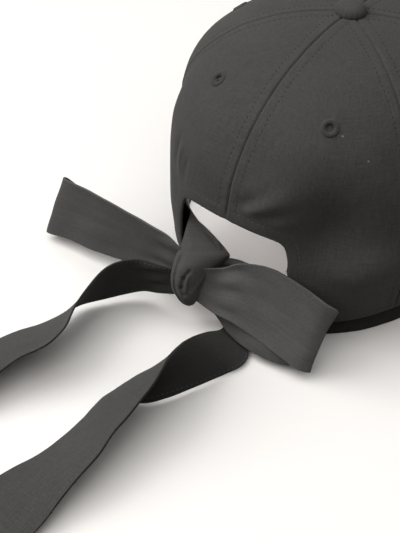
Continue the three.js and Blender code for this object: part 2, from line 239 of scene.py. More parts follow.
# The cloth of the ribbons that aren't loops (darker copies of the loops' cloth, painted shade), how far
# each bows between its edges, and its gathered ends
RIBBON_CLOTH = {"left_tail": "reverse", "right_tail": "reverse", "left_tie": "knot", "right_tie": "knot"}
RIBBON_CUP = {"bow_loop_left": 1.5, "bow_loop_right": -1.5, "left_tail": 1.0, "right_tail": 1.0}
GATHERED = {
    "bow_loop_left": (True, True), "bow_loop_right": (True, True), "left_tail": (True, False),
    "right_tail": (True, False), "left_tie": (False, True), "right_tie": (False, True),
}
EYELET_Z = 121 * MM
BACK_EYELET_AROUND = 26.8
# Length of one degree round the crown's side, near enough to measure creases and the opening's edge with
MM_PER_DEGREE = 1.75
# A crease swells over the first of its length and has faded by this share at its end
CREASE_SWELL = (-0.1, 0.25)
CREASE_FADE = 0.85
# Points closer than this are one, in metres
MERGED = 1e-6


class Sewn:
    """What sewing does to the crown's cloth: heights in mm, places and widths in metres."""

    valley, valley_width = 0.7, 0.6 * MM
    lip, lip_place, lip_width = 0.12, 1.7 * MM, 1.1 * MM
    seam_end = 5 * MM
    allowance, allowance_slope = 0.18, 1.6 * MM
    seam_dimple, seam_dimple_width = 0.2, 0.7 * MM
    turning, turning_slope = 0.3, 2 * MM
    hem_dimple, hem_dimple_width = 0.25, 0.8 * MM
    rolled, rolled_width = 0.4, 0.8 * MM
    pucker, pucker_length, pucker_width = 0.1, 7.5 * MM, 3 * MM
    pucker_place, pucker_sway, sway_scale = 0.6, 4, 55
    slack, slack_scale = 0.7, 24
    ruffle, ruffle_scale = 0.16, 85
    ruffle_shift = Vector((4, 1, 7))


class Pattern:
    """The woven cloth's pattern: noise scales, and each layer's share of the tone."""

    thread_across, thread_along = 1.6, 0.12
    grain_scale, dye_scale, lint_scale = 900.0, 22.0, 60.0
    base_share, thread_share, grain_share, dye_share = 0.22, 0.45, 0.4, 0.26
    lint_size, lint_chance = 0.03, 0.72
    lint_colour = (0.09, 0.088, 0.085, 1)
    bump_strength, bump_height = 0.35, 0.4 * MM
    gloss, rough, grain_rough, sheen_rough = 0.012, 0.84, 0.14, 0.45
    relief_share = 0.5


def length_property(name, description, millimetres):
    """A size that is typed in millimetres and kept in metres."""
    size = millimetres * MM
    return FloatProperty(name=name, description=description, default=size, unit="LENGTH", precision=4)


def colour_property(name, description, default):
    return FloatVectorProperty(
        name=name, description=description, default=default, subtype="COLOR", min=0, max=1,
    )


class CAP_PG_crown(bpy.types.PropertyGroup):
    """Sizes of the sewn crown."""

    half_width: length_property("Half width", "Half the crown's width where it is widest", 90.4)
    half_length: length_property("Half length", "Half the crown's length where it is widest", 104)
    puff: length_property("Puff", "How far a panel stands out between its seams", 1.6)
    hem: length_property("Hem height", "Height of the crown's lower edge above the rim", 10.5)
    side_rise: length_property("Side rise", "How much higher the lower edge is at the sides", 5)
    front_rise: length_property("Front rise", "How much higher the lower edge is over the peak", 9.5)
    cloth: length_property("Cloth", "Thickness of the crown's cloth", 1.2)
    button: length_property("Button hole", "Radius at which the panels end under the button", 6)
    seam_stitch: length_property("Seam stitching", "From a seam to the stitch row beside it", 5.2)
    hem_stitch: length_property("Hem stitching", "From an edge to its stitch row", 6.2)
    eyelet: length_property("Eyelet", "Outer radius of a sewn eyelet", 4.7)
    eyelet_hole: length_property("Eyelet hole", "Radius of the hole in an eyelet", 1.8)


class CAP_PG_trim(bpy.types.PropertyGroup):
    """Sizes of the peak, the sweatband and the thread."""

    peak_half_width: length_property("Peak half width", "Half the peak's width", 80)
    peak_reach: length_property("Peak reach", "From the centre of the cap to the tip of the peak", 168)
    peak_thickness: length_property("Peak thickness", "Thickness of the peak", 2.4)
    peak_drop: length_property("Peak drop", "How far the sides of the peak curve down", 12)
    band_height: length_property("Band height", "Height of the sweatband", 33)
    band_thickness: length_property("Band thickness", "Thickness of the sweatband", 1.5)
    stitch: length_property("Stitch", "Length of one stitch", 1.75)
    stitch_gap: length_property("Stitch gap", "Gap between two stitches", 0.9)
    thread: length_property("Thread", "Thickness of the sewing thread", 0.68)


class CAP_PG_bow(bpy.types.PropertyGroup):
    """Sizes of the ribbon and its knot."""

    width: length_property("Ribbon width", "Width of the ribbon laid flat", 41)
    thickness: length_property("Ribbon thickness", "Thickness of the ribbon", 1.1)
    edge_stitch: length_property("Edge stitching", "From the ribbon's edge to its stitch row", 2.4)
    pleat: length_property("Pleats", "Depth of the gathers beside the knot", 1.1)


class CAP_PG_colour(bpy.types.PropertyGroup):
    """Colours of the cloth and the thread. The loops, knot, ties and tails are copies of one cloth, lighter
    or darker as painted light and shade, and the seam thread and edge thread are one thread, darker as
    painted shade and lighter as painted highlight.
    """

    crown: colour_property("Crown", "Cloth of the crown and the peak", (0.0204, 0.0200, 0.0195))
    # The loops' cloth, the same make as the crown's but lighter, as painted light on the loops; the knot,
    # ties and tails take darker copies of it.
    ribbon: colour_property("Ribbon", "Cloth of the bow's loops", (0.0325, 0.0325, 0.0317))
    # Painted shade: a darker copy of the loops' cloth for the knot and the ties, which lie in shade.
    knot: colour_property("Knot", "Cloth of the knot and the ties", (0.0245, 0.0245, 0.0238))
    # Painted shade: a darker copy of the loops' cloth on the tails' upper faces, where less light falls.
    tail: colour_property("Tails", "Right side of the ribbon's tails", (0.0218, 0.0218, 0.0210))
    # Painted shade: the darkest copy of the loops' cloth, on the tails' faces that lie turned away from the
    # light.
    reverse: colour_property("Reverse", "Wrong side of the ribbon's tails", (0.0130, 0.0130, 0.0124))
    lining: colour_property("Lining", "Cloth of the sweatband", (0.0125, 0.0125, 0.011))
    # Painted shade: the seam, peak and sweatband stitches are darker than the cloth, standing for the shade
    # in and round each stitch.
    thread: colour_property("Seam thread", "Sewing thread of the crown's seams", (0.008, 0.008, 0.0078))
    # Painted highlight: the hem and ribbon stitches are lighter than the cloth, standing for light glancing
    # off them.
    edging: colour_property("Edge thread", "Sewing thread of the edges", (0.034, 0.034, 0.033))
    floor: colour_property("Floor", "Surface that the cap stands on", (0.335, 0.329, 0.324))


class CAP_PG_stage(bpy.types.PropertyGroup):
    """Camera and light."""

    azimuth: FloatProperty(name="Azimuth", description="Camera's turn round the cap from the peak",
                           default=math.radians(218.7), subtype="ANGLE")
    elevation: FloatProperty(name="Elevation", description="Camera's angle above the floor",
                             default=math.radians(44), subtype="ANGLE")
    distance: length_property("Distance", "From the camera to the point it looks at", 579)
    lens: FloatProperty(name="Lens", description="Focal length in millimetres", default=70)
    fill: FloatProperty(name="Fill light", description="Strength of the light from all round", default=0.02)


def catmull(before, start, end, after, share):
    """Point between start and end of an evenly spaced Catmull-Rom curve."""
    into, out = (end - before) / 2, (after - start) / 2
    cubic = 2 * start - 2 * end + into + out
    square = -3 * start + 3 * end - 2 * into - out
    return ((cubic * share + square) * share + into) * share + start


def centripetal(before, start, end, after, share):
    """Point between start and end of a centripetal Catmull-Rom curve."""
    steps = [max(math.sqrt((b - a).length), 1e-4) for a, b in ((before, start), (start, end), (end, after))]
    into = (start - before) / steps[0] - (end - before) / (steps[0] + steps[1]) + (end - start) / steps[1]
    out = (end - start) / steps[1] - (after - start) / (steps[1] + steps[2]) + (after - end) / steps[2]
    into, out = into * steps[1], out * steps[1]
    cubic = 2 * start - 2 * end + into + out
    square = -3 * start + 3 * end - 2 * into - out
    return ((cubic * share + square) * share + into) * share + start


def along_rows(points, share, step=centripetal, overshoot=True):
    """Point of the curve through the points, at a share of its rows."""
    last = len(points) - 1
    row = min(int(share * last), last - 1)
    start, end = points[row], points[row + 1]
    before = points[row - 1] if row else (2 * start - end if overshoot else start)
    after = points[row + 2] if row + 2 <= last else (2 * end - start if overshoot else end)
    return step(before, start, end, after, share * last - row)


def run_length(points):
    return sum((b - a).length for a, b in zip(points, points[1:]))


def spaced(points, count):
    """Points at even distances along a polyline."""
    marks = [0.0]
    for a, b in zip(points, points[1:]):
        marks.append(marks[-1] + (b - a).length)
    found, piece = [], 0
    for i in range(count + 1):
        mark = marks[-1] * i / count
        while piece < len(points) - 2 and marks[piece + 1] < mark:
            piece += 1
        span = max(marks[piece + 1] - marks[piece], 1e-9)
        found.append(points[piece].lerp(points[piece + 1], (mark - marks[piece]) / span))
    return found


def smooth(low, high, value):
    share = min(max((value - low) / (high - low), 0), 1)
    return share * share * (3 - 2 * share)


def hill(value, width):
    return math.exp(-((value / width) ** 2))


def crowded(share, amount=0.7):
    """Moves shares towards both ends, so that rows lie closer together there."""
    return share - amount * math.sin(2 * math.pi * share) / (2 * math.pi)


class CrownShape:
    """The cloth shell, by degrees from the back towards the right and the share of the way up its side."""

    steps, fine_steps = 400, 1200
    turn_step, rise_step = 0.5, 0.002

    def __init__(self, size):
        self.half_width, self.half_length = size.half_width, size.half_length
        self.hem_height, self.puff = size.hem, size.puff
        self.side_rise, self.front_rise = size.side_rise, size.front_rise
        rows = [Vector((row.reach * size.half_length, row.z * MM)) for row in PROFILE]
        count = self.fine_steps
        fine = [along_rows(rows, i / count, catmull, False) for i in range(count + 1)]
        self.side = spaced(fine, self.steps)

    def side_at(self, rise):
        place = min(max(rise, 0), 1) * self.steps
        row = min(int(place), self.steps - 1)
        return self.side[row].lerp(self.side[row + 1], place - row)

    def way_up(self, z):
        row = next(i for i, p in enumerate(self.side) if p.y >= z and i > 0)
        below, above = self.side[row - 1].y, self.side[row].y
        return (row - 1 + (z - below) / (above - below)) / self.steps

    def way_in(self, radius):
        return max(i for i, p in enumerate(self.side) if p.x >= radius) / self.steps

    def hem(self, around):
        turn = math.radians(around)
        side, front = math.sin(turn), max(0, -math.cos(turn))
        return self.hem_height + self.side_rise * side ** 2 + self.front_rise * front ** 2

    def point(self, around, rise):
        reach, z = self.side_at(rise)
        turn = math.radians(around)
        oval = 1 / math.hypot(math.sin(turn) / self.half_width, math.cos(turn) / self.half_length)
        around = (around + 180) % 360 - 180
        gore = next(g for g in GORES if g.start <= around <= g.end)
        across = (around - gore.start) / (gore.end - gore.start)
        radius = reach / self.half_length * oval
        radius += self.puff * math.sin(math.pi * across) * math.sin(math.pi * rise)
        for fold in FOLDS:
            beside, above = around - fold.around, z / MM - fold.z
            radius += fold.out * MM * hill(beside, fold.wide) * hill(above, fold.tall)
        return Vector((-radius * math.sin(turn), radius * math.cos(turn), z))

    def normal(self, around, rise):
        across = self.point(around + self.turn_step, rise) - self.point(around - self.turn_step, rise)
        up = self.point(around, rise + self.rise_step) - self.point(around, rise - self.rise_step)
        return across.cross(up).normalized()


class PanelShape:
    """One panel of the crown, by shares across it and up it from its lower edge."""

    arch_share, arch_steps, edge_steps = 0.6, 300, 400
    columns, back_columns, rows = 64, 120, 90
    crowd = (0.7, 0.55)
    inside = Vector((0, 0, 60)) * MM

    def __init__(self, crown, size, gore):
        self.crown, self.gore = crown, gore
        self.top = crown.way_in(size.button)
        count = self.arch_steps
        arch = [Vector((around * MM_PER_DEGREE, z, 0)) for around, z in OPENING]
        self.arch = spaced([along_rows(arch, i / count, catmull, False) for i in range(count + 1)], count)
        edge = [self.point(i / self.edge_steps, 0) for i in range(self.edge_steps + 1)]
        self.edge = KDTree(len(edge))
        for i, p in enumerate(edge):
            self.edge.insert(p, i)
        self.edge.balance()

    def lower_edge(self, u):
        gore = self.gore
        mirrored = gore.end <= 0
        share = 1 - u if mirrored else u
        start, end = (-gore.end, -gore.start) if mirrored else (gore.start, gore.end)
        if start > 0:
            around = start + (end - start) * share
            z = self.crown.hem(around)
        elif share <= self.arch_share:
            spot = self.arch[round(share / self.arch_share * self.arch_steps)]
            around, z = spot.x / MM_PER_DEGREE, spot.y * MM
        else:
            corner = OPENING[-1][0]
            around = corner + (end - corner) * (share - self.arch_share) / (1 - self.arch_share)
            z = self.crown.hem(around)
        return (-around if mirrored else around), z

    def place(self, u, v):
        """Degrees round and share of the way up the crown."""
        around, z = self.lower_edge(u)
        low = self.crown.way_up(z)
        top_around = self.gore.start + (self.gore.end - self.gore.start) * u
        return around + (top_around - around) * v, low + (self.top - low) * v

    def point(self, u, v):
        return self.crown.point(*self.place(u, v))

    def seam_gap(self, around, p):
        turn = min(around - self.gore.start, self.gore.end - around)
        return math.hypot(p.x, p.y) * math.sin(math.radians(max(turn, 0)))

    def edge_gap(self, p):
        return self.edge.find(p)[2]


def near_crease(crease, here, unit=1.0):
    """Share of the way along a crease nearest to here, and how far off that is; unit is mm per degree."""
    start = Vector((crease.around * unit, crease.z))
    run = Vector((crease.to_around * unit, crease.to_z)) - start
    share = min(max((here - start).dot(run) / run.length_squared, 0), 1)
    return share, (here - start - run * share).length


def crease_height(around, z):
    """Height of the small folds of the crown's cloth at a place on it, in metres; they spread and fade."""
    total = 0.0
    here = Vector((around * MM_PER_DEGREE, z / MM))
    for crease in CREASES:
        share, off = near_crease(crease, here, MM_PER_DEGREE)
        fade = (1 - CREASE_FADE * share) * smooth(*CREASE_SWELL, share)
        total += crease.out * fade * hill(off, crease.wide * (1 + share))
    return total * MM


def panel_relief(shape, size, around, p):
    """How far the sewn cloth stands off the plain shell: seam valley, doubled edges, dimples and slack."""
    seam, edge = shape.seam_gap(around, p), shape.edge_gap(p)
    lip = Sewn.lip * hill(seam - Sewn.lip_place, Sewn.lip_width)
    height = (lip - Sewn.valley * hill(seam, Sewn.valley_width)) * smooth(0, Sewn.seam_end, edge)
    height += Sewn.allowance * (1 - smooth(size.seam_stitch, size.seam_stitch + Sewn.allowance_slope, seam))
    height -= Sewn.seam_dimple * hill(seam - size.seam_stitch, Sewn.seam_dimple_width)
    height += Sewn.turning * (1 - smooth(size.hem_stitch, size.hem_stitch + Sewn.turning_slope, edge))
    height -= (Sewn.hem_dimple * hill(edge - size.hem_stitch, Sewn.hem_dimple_width)
               + Sewn.rolled * hill(edge, Sewn.rolled_width))
    sway = Sewn.pucker_sway * noise.noise(p * Sewn.sway_scale)
    pucker = math.sin(2 * math.pi * p.z / Sewn.pucker_length + sway)
    height += Sewn.pucker * pucker * hill(seam - size.seam_stitch * Sewn.pucker_place, Sewn.pucker_width)
    height += (Sewn.slack * noise.noise(p * Sewn.slack_scale)
               + Sewn.ruffle * noise.noise(p * Sewn.ruffle_scale + Sewn.ruffle_shift))
    for dent in DENTS:
        height += dent.out * hill(around - dent.around, dent.wide) * hill(p.z / MM - dent.z, dent.tall)
    return height * MM + crease_height(around, p.z)


def bent_grid(across, along, place, crowd=(0.0, 0.0)):
    """A mesh grid moved point by point to place(u, v), with its UVs in millimetres."""
    bm = bmesh.new()
    uvs = bm.loops.layers.uv.new("UVMap")
    bmesh.ops.create_grid(bm, x_segments=across, y_segments=along, size=0.5, calc_uvs=True)
    shares = {}
    for vert in bm.verts:
        u = crowded(min(max(vert.co.x + 0.5, 0), 1), crowd[0])
        v = crowded(min(max(vert.co.y + 0.5, 0), 1), crowd[1])
        shares[vert] = (u, v)
    for vert, (u, v) in shares.items():
        vert.co = place(u, v)
    wide = (place(1, 0.5) - place(0, 0.5)).length / MM
    tall = (place(0.5, 1) - place(0.5, 0)).length / MM
    for face in bm.faces:
        for loop in face.loops:
            u, v = shares[loop.vert]
            loop[uvs].uv = (u * wide, v * tall)
    bm.normal_update()
    return bm, shares


def facing_out(bm, centre):
    """Turns the faces to point away from a centre."""
    bm.faces.ensure_lookup_table()
    middle = bm.faces[len(bm.faces) // 2]
    if middle.normal.dot(middle.calc_center_median() - centre) < 0:
        bmesh.ops.reverse_faces(bm, faces=bm.faces)
    bm.normal_update()


def finished(name, bm, material, slot, *nodes):
    """Makes an object of a bmesh that rides on the cap and stands for the named solids."""
    mesh = bpy.data.meshes.new(name)
    bm.to_mesh(mesh)
    bm.free()
    mesh.shade_smooth()
    piece = bpy.data.objects.new(name, mesh)
    bpy.context.collection.objects.link(piece)
    mesh.materials.append(material)
    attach(piece, BODY)
    if nodes:
        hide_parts(*nodes)
    return piece


def thicken(piece, thickness, offset=-1.0):
    wall = piece.modifiers.new("Thickness", "SOLIDIFY")
    wall.thickness = thickness
    wall.offset = offset
    return wall


def round_edges(piece, width, segments):
    edge = piece.modifiers.new("Rolled edge", "BEVEL")
    edge.affect = "EDGES"
    edge.width = width
    edge.segments = segments
    edge.profile = 0.5
    edge.material = -1
    edge.limit_method = "ANGLE"
    edge.angle_limit = math.radians(50)


def stitch_row(bm, surface, places, trim, cloth, proud, sunk=0.5):
    """Sews stitches that stand proud of both faces of the cloth, sunk from the surface by a share of it."""
    found = [surface.find_nearest(p) for p in places]
    normals = [hit[1] for hit in found]
    points = [hit[0] - hit[1] * (cloth * sunk) for hit in found]
    deep = cloth + proud
    ends = spaced(points, max(1, int(run_length(points) / (trim.stitch + trim.stitch_gap))))
    tree = KDTree(len(points))
    for i, p in enumerate(points):
        tree.insert(p, i)
    tree.balance()
    row = bmesh.new()
    for a, b in zip(ends, ends[1:]):
        middle = (a + b) / 2
        run = (b - a).normalized()
        side = normals[tree.find(middle)[1]].cross(run).normalized()
        turn = Matrix((run, side, run.cross(side))).transposed().to_4x4()
        scale = Matrix.Diagonal((trim.stitch, trim.thread, deep, 1))
        bmesh.ops.create_uvsphere(row, u_segments=6, v_segments=4, radius=0.5,
                                  matrix=Matrix.Translation(middle) @ turn @ scale)
    sewn = bpy.data.meshes.new("row")
    row.to_mesh(sewn)
    row.free()
    bm.from_mesh(sewn)
    bpy.data.meshes.remove(sewn)


class Value:
    """A shader socket whose arithmetic adds Math nodes."""

    def __init__(self, tree, socket):
        self.tree, self.socket = tree, socket

    def math(self, operation, *values):
        node = self.tree.nodes.new("ShaderNodeMath")
        node.operation = operation
        for place, value in zip(node.inputs, values):
            if isinstance(value, Value):
                self.tree.links.new(value.socket, place)
            else:
                place.default_value = value
        return Value(self.tree, node.outputs[0])

    def __add__(self, other):
        return self.math("ADD", self, other)

    __radd__ = __add__

    def __sub__(self, other):
        return self.math("SUBTRACT", self, other)

    def __rsub__(self, other):
        return self.math("SUBTRACT", other, self)

    def __mul__(self, other):
        return self.math("MULTIPLY", self, other)

    __rmul__ = __mul__

    def __lt__(self, other):
        return self.math("LESS_THAN", self, other)

    def __gt__(self, other):
        return self.math("GREATER_THAN", self, other)


class Finish:
    """A material in the making."""

    def __init__(self, name):
        self.material = bpy.data.materials.new(name)
        self.material.use_nodes = True
        self.tree = self.material.node_tree
        self.shader = self.tree.nodes["Principled BSDF"]

    def node(self, kind, output=0, settings=(), **values):
        node = self.tree.nodes.new(kind)
        for key, value in dict(settings).items():
            setattr(node, key, value)
        for key, value in values.items():
            place = node.inputs[key.replace("_", " ")]
            if isinstance(value, Value):
                self.tree.links.new(value.socket, place)
            else:
                place.default_value = value
        return Value(self.tree, node.outputs[output])

    def feed(self, socket, value):
        if isinstance(value, Value):
            self.tree.links.new(value.socket, self.shader.inputs[socket])
        else:
            self.shader.inputs[socket].default_value = value


def cloth_finish(name, colour, lint, sheen):
    """Matt woven cloth: fine threads both ways, a soft unevenness of dye, and a little lint."""
    finish = Finish(name)
    place = finish.node("ShaderNodeTexCoord", "Object")
    sewn = finish.node("ShaderNodeTexCoord", "UV")
    across, along = Pattern.thread_across, Pattern.thread_along
    warp = finish.node("ShaderNodeMapping", Vector=sewn, Scale=(across, along, 1))
    weft = finish.node("ShaderNodeMapping", Vector=sewn, Scale=(along, across, 1))
    warp_threads = finish.node("ShaderNodeTexNoise", "Fac", Vector=warp, Scale=1.0, Detail=2.0)
    weft_threads = finish.node("ShaderNodeTexNoise", "Fac", Vector=weft, Scale=1.0, Detail=2.0)
    grain = finish.node("ShaderNodeTexNoise", "Fac", Vector=place, Scale=Pattern.grain_scale, Detail=1.0)
    dye = finish.node("ShaderNodeTexNoise", "Fac", Vector=place, Scale=Pattern.dye_scale, Detail=3.0)
    threads = warp_threads + weft_threads
    tone = Pattern.base_share + threads * Pattern.thread_share
    tone = tone + grain * Pattern.grain_share + dye * Pattern.dye_share
    dyed = finish.node("ShaderNodeMix", "Result", {"data_type": "RGBA", "blend_type": "MULTIPLY"},
                       Factor=1.0, A=(*colour, 1), B=tone)
    cells = finish.node("ShaderNodeTexVoronoi", "Distance", Vector=place, Scale=Pattern.lint_scale)
    chance = finish.node("ShaderNodeTexVoronoi", "Color", Vector=place, Scale=Pattern.lint_scale)
    speck = (cells < Pattern.lint_size) * (chance > Pattern.lint_chance) * lint
    shaded = finish.node("ShaderNodeMix", "Result", {"data_type": "RGBA"},
                         Factor=speck, A=dyed, B=Pattern.lint_colour)
    finish.feed("Base Color", shaded)
    finish.feed("Roughness", Pattern.rough + grain * Pattern.grain_rough)
    finish.feed("Specular IOR Level", Pattern.gloss)
    finish.feed("Sheen Weight", sheen)
    finish.feed("Sheen Roughness", Pattern.sheen_rough)
    relief = threads * Pattern.relief_share + grain * Pattern.relief_share
    bump = finish.node("ShaderNodeBump", "Normal", Height=relief, Strength=Pattern.bump_strength,
                       Distance=Pattern.bump_height)
    finish.feed("Normal", bump)
    return finish.material


class Cloths:
    """The finishes of the cap, made once."""

    made = {}
    crown_lint, lint = 0.6, 0.25
    sheen, dull_sheen = 0.04, 0.02
    dull = ("lining", "thread")

    @classmethod
    def get(cls, name):
        if name not in cls.made:
            colours = bpy.context.scene.cap_colour
            cls.made[name] = cloth_finish(
                f"cap_{name}", tuple(getattr(colours, name)),
                lint=cls.crown_lint if name == "crown" else cls.lint,
                sheen=cls.dull_sheen if name in cls.dull else cls.sheen,
            )
        return cls.made[name]


def at_back(gore):
    return gore.start == 0 or gore.end == 0


def eyelet_around(gore):
    if at_back(gore):
        return math.copysign(BACK_EYELET_AROUND, gore.start + gore.end)
    return (gore.start + gore.end) / 2


def sew_panel(crown, size, gore):
    """One panel with its seam valleys, doubled edges and slack, and the hole for its eyelet."""
    shape = PanelShape(crown, size, gore)
    columns = shape.back_columns if at_back(gore) else shape.columns
    bm, shares = bent_grid(columns, shape.rows, shape.point, shape.crowd)
    facing_out(bm, shape.inside)
    for vert, (u, v) in shares.items():
        around, rise = shape.place(u, v)
        vert.co += crown.normal(around, rise) * panel_relief(shape, size, around, vert.co)
    bm.normal_update()
    spot = crown.point(eyelet_around(gore), crown.way_up(EYELET_Z))
    holed = [f for f in bm.faces if (f.calc_center_median() - spot).length < size.eyelet * 0.5]
    bmesh.ops.delete(bm, geom=holed, context="FACES")
    bm.normal_update()
    return shape, bm


class CAP_OT_panels(bpy.types.Operator):
    """Sews the six panels of the crown and their stitch rows"""

    bl_idname = "cap.panels"
    bl_label = "Panels"

    seam_steps, hem_steps = 120, 240
    hem_search, halvings = 0.4, 14
    proud, row_top, clear_of_edge = 0.5 * MM, 9 * MM, 1.2
    width_rows, width_steps, length_steps = 12, 24, 60

    def execute(self, context):
        size, trim = context.scene.cap_crown, context.scene.cap_trim
        crown = CrownShape(size)
        seams, hems = bmesh.new(), bmesh.new()
        for gore in GORES:
            shape, bm = sew_panel(crown, size, gore)
            surface = BVHTree.FromBMesh(bm)
            self.sew(seams, hems, surface, shape, size, trim)
            area = sum(f.calc_area() for f in bm.faces)
            piece = finished(f"{gore.name}_cloth", bm, Cloths.get("crown"), "crown", f"{gore.name}_panel")
            thicken(piece, size.cloth)
            width, length = self.flat_size(shape)
        # Painted shade and highlight: the seam rows take the dark thread, standing for the shade in the
        # stitches, and the hem row the light thread, standing for light on them.
        finished("seam_stitching", seams, Cloths.get("thread"), "stitching")
        finished("hem_stitching", hems, Cloths.get("edging"), "stitching")
        return {"FINISHED"}

    def flat_size(self, shape):
        """The widest row of a panel, and the longest of its middle and its two sides."""
        across = [i / self.width_steps for i in range(self.width_steps + 1)]
        up = [i / self.length_steps for i in range(self.length_steps + 1)]
        levels = [i / self.width_rows for i in range(self.width_rows)]
        width = max(run_length([shape.point(u, level) for u in across]) for level in levels)
        length = max(run_length([shape.point(u, v) for v in up]) for u in (0, 0.5, 1))
        return width, length

    def sew(self, seams, hems, surface, shape, size, trim):
        """Rows beside both seams, and one along the lower edge."""
        rows = []
        for seam, side in ((shape.gore.start, 1), (shape.gore.end, -1)):
            u = 0 if side == 1 else 1
            row = []
            for i in range(self.seam_steps + 1):
                around, rise = shape.place(u, i / self.seam_steps)
                p = shape.crown.point(around, rise)
                gap = math.degrees(math.asin(min(1, size.seam_stitch / math.hypot(p.x, p.y))))
                q = shape.crown.point(seam + side * gap, rise)
                clear = shape.edge_gap(q) > size.seam_stitch * self.clear_of_edge
                if clear and math.hypot(q.x, q.y) > self.row_top:
                    row.append(q)
            rows.append((seams, row))
        row = []
        for i in range(self.hem_steps + 1):
            u = i / self.hem_steps
            low, high = 0.0, self.hem_search
            for _ in range(self.halvings):
                middle = (low + high) / 2
                if shape.edge_gap(shape.point(u, middle)) < size.hem_stitch:
                    low = middle
                else:
                    high = middle
            row.append(shape.point(u, low))
        rows.append((hems, row))
        for sewing, row in rows:
            stitch_row(sewing, surface, row, trim, size.cloth, self.proud)


class CAP_OT_eyelets(bpy.types.Operator):
    """Embroiders a ring round the hole in each panel"""

    bl_idname = "cap.eyelets"
    bl_label = "Eyelets"

    threads, thread_depth, thread_slant = 38, 0.09, 2
    height = 1.35 * MM
    backing_overlap, backing_depth = 0.5 * MM, 1.1 * MM
    ring_grid, backing_grid = (152, 14), (24, 2)

    def execute(self, context):
        size = context.scene.cap_crown
        crown = CrownShape(size)
        for gore in GORES:
            around = eyelet_around(gore)
            rise = crown.way_up(EYELET_Z)
            spot, out = crown.point(around, rise), crown.normal(around, rise)
            turn = out.to_track_quat("Z", "Y").to_matrix()
            middle = (size.eyelet + size.eyelet_hole) / 2
            half = (size.eyelet - size.eyelet_hole) / 2

            def ring(u, v):
                angle, section = 2 * math.pi * u, 2 * math.pi * v
                slant = self.thread_slant * math.sin(section)
                rib = 1 + self.thread_depth * math.sin(self.threads * angle + slant)
                radius = middle + half * math.cos(section)
                height = self.height * rib * math.sin(section) - size.cloth / 2
                return spot + turn @ Vector((radius * math.cos(angle), radius * math.sin(angle), height))

            def backing(u, v):
                angle, radius = 2 * math.pi * u, (size.eyelet_hole + self.backing_overlap) * v
                depth = -self.backing_depth
                return spot + turn @ Vector((radius * math.cos(angle), radius * math.sin(angle), depth))

            bm, _ = bent_grid(*self.ring_grid, ring)
            tape, _ = bent_grid(*self.backing_grid, backing)
            for made in (bm, tape):
                bmesh.ops.remove_doubles(made, verts=made.verts, dist=MERGED)
            bmesh.ops.recalc_face_normals(bm, faces=bm.faces)
            name, cloth = f"eyelet_{gore.name}", Cloths.get("crown")
            finished(f"{name}_thread", bm, cloth, "stitching", name)
            finished(f"{name}_backing", tape, cloth, "stitching")
        return {"FINISHED"}


class CAP_OT_button(bpy.types.Operator):
    """Covers the button on top of the crown with gathered cloth"""

    bl_idname = "cap.button"
    bl_label = "Top button"

    tall, under = 5 * MM, 1.2 * MM
    gathers, gather_depth = 9, 0.03
    side_curve, top_curve = 0.8, 0.9

    def execute(self, context):
        low, high = (Vector(corner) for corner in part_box("top_button"))
        radius = (high.x - low.x) / 2
        base = high.z - self.tall
        bm = bmesh.new()
        bm.loops.layers.uv.new("UVMap")
        bmesh.ops.create_uvsphere(bm, u_segments=72, v_segments=36, radius=1, calc_uvs=True)
        for vert in bm.verts:
            p = vert.co.copy()
            turn = math.atan2(p.y, p.x)
            share = math.hypot(p.x, p.y) ** self.side_curve
            gather = 1 - self.gather_depth * abs(math.sin(self.gathers * turn)) * smooth(0.5, 1, share)
            out = radius * share * gather
            height = p.z ** self.top_curve * self.tall if p.z > 0 else p.z * self.under
            vert.co = Vector((out * math.cos(turn), out * math.sin(turn), base + height))
        bmesh.ops.recalc_face_normals(bm, faces=bm.faces)
        finished("top_button_cover", bm, Cloths.get("crown"), "crown", "top_button")
        return {"FINISHED"}


class CAP_OT_peak(bpy.types.Operator):
    """Makes the stiffened peak with its rows of stitching"""

    bl_idname = "cap.peak"
    bl_label = "Peak"

    spread = 64
    full = 2.5
    settle = 35 * MM
    root_gap, tip_drop = 0.35 * MM, 3 * MM
    stitch_rows, row_spaces = 7, 7.6
    row_steps, row_start, row_share = 160, 0.06, 0.88
    proud, edge_roll = 0.4 * MM, 0.9 * MM
    grid, crowd = (110, 44), (0.2, 0.4)
    beneath = Vector((0, -0.12, -1))

    def execute(self, context):
        size, trim = context.scene.cap_crown, context.scene.cap_trim
        crown = CrownShape(size)
        end = crown.point(180 - self.spread, 0)

        def top(u, v):
            share = 2 * u - 1
            around = 180 - share * self.spread
            hem = crown.hem(around)
            root = crown.point(around, crown.way_up(hem))
            root -= Vector((root.x, root.y, 0)).normalized() * size.cloth
            root.z = hem - self.root_gap
            angle = share * math.pi / 2
            wide = math.copysign(abs(math.sin(angle)) ** (2 / self.full), share)
            forward = max(0, math.cos(angle)) ** (2 / self.full)
            reach = end.y + (-trim.peak_reach - end.y) * forward
            edge = Vector((-trim.peak_half_width * wide, reach, root.z))
            p = root.lerp(edge, v)
            away = min(1, (p - root).length / self.settle)
            p.z -= trim.peak_drop * (p.x / trim.peak_half_width) ** 2 * away + self.tip_drop * v * v
            return p

        bm, _ = bent_grid(*self.grid, top, self.crowd)
        facing_out(bm, self.beneath)
        surface = BVHTree.FromBMesh(bm)
        sewing = bmesh.new()
        across = [self.row_start + self.row_share * i / self.row_steps for i in range(self.row_steps + 1)]
        for row in range(1, self.stitch_rows + 1):
            places = [top(u, row / self.row_spaces) for u in across]
            stitch_row(sewing, surface, places, trim, trim.peak_thickness, self.proud)
        piece = finished("peak_cloth", bm, Cloths.get("crown"), "crown", "peak")
        thicken(piece, trim.peak_thickness)
        round_edges(piece, self.edge_roll, 3)
        # The peak's stitches take the dark thread, painted shade.
        finished("peak_stitching", sewing, Cloths.get("thread"), "stitching")
        return {"FINISHED"}


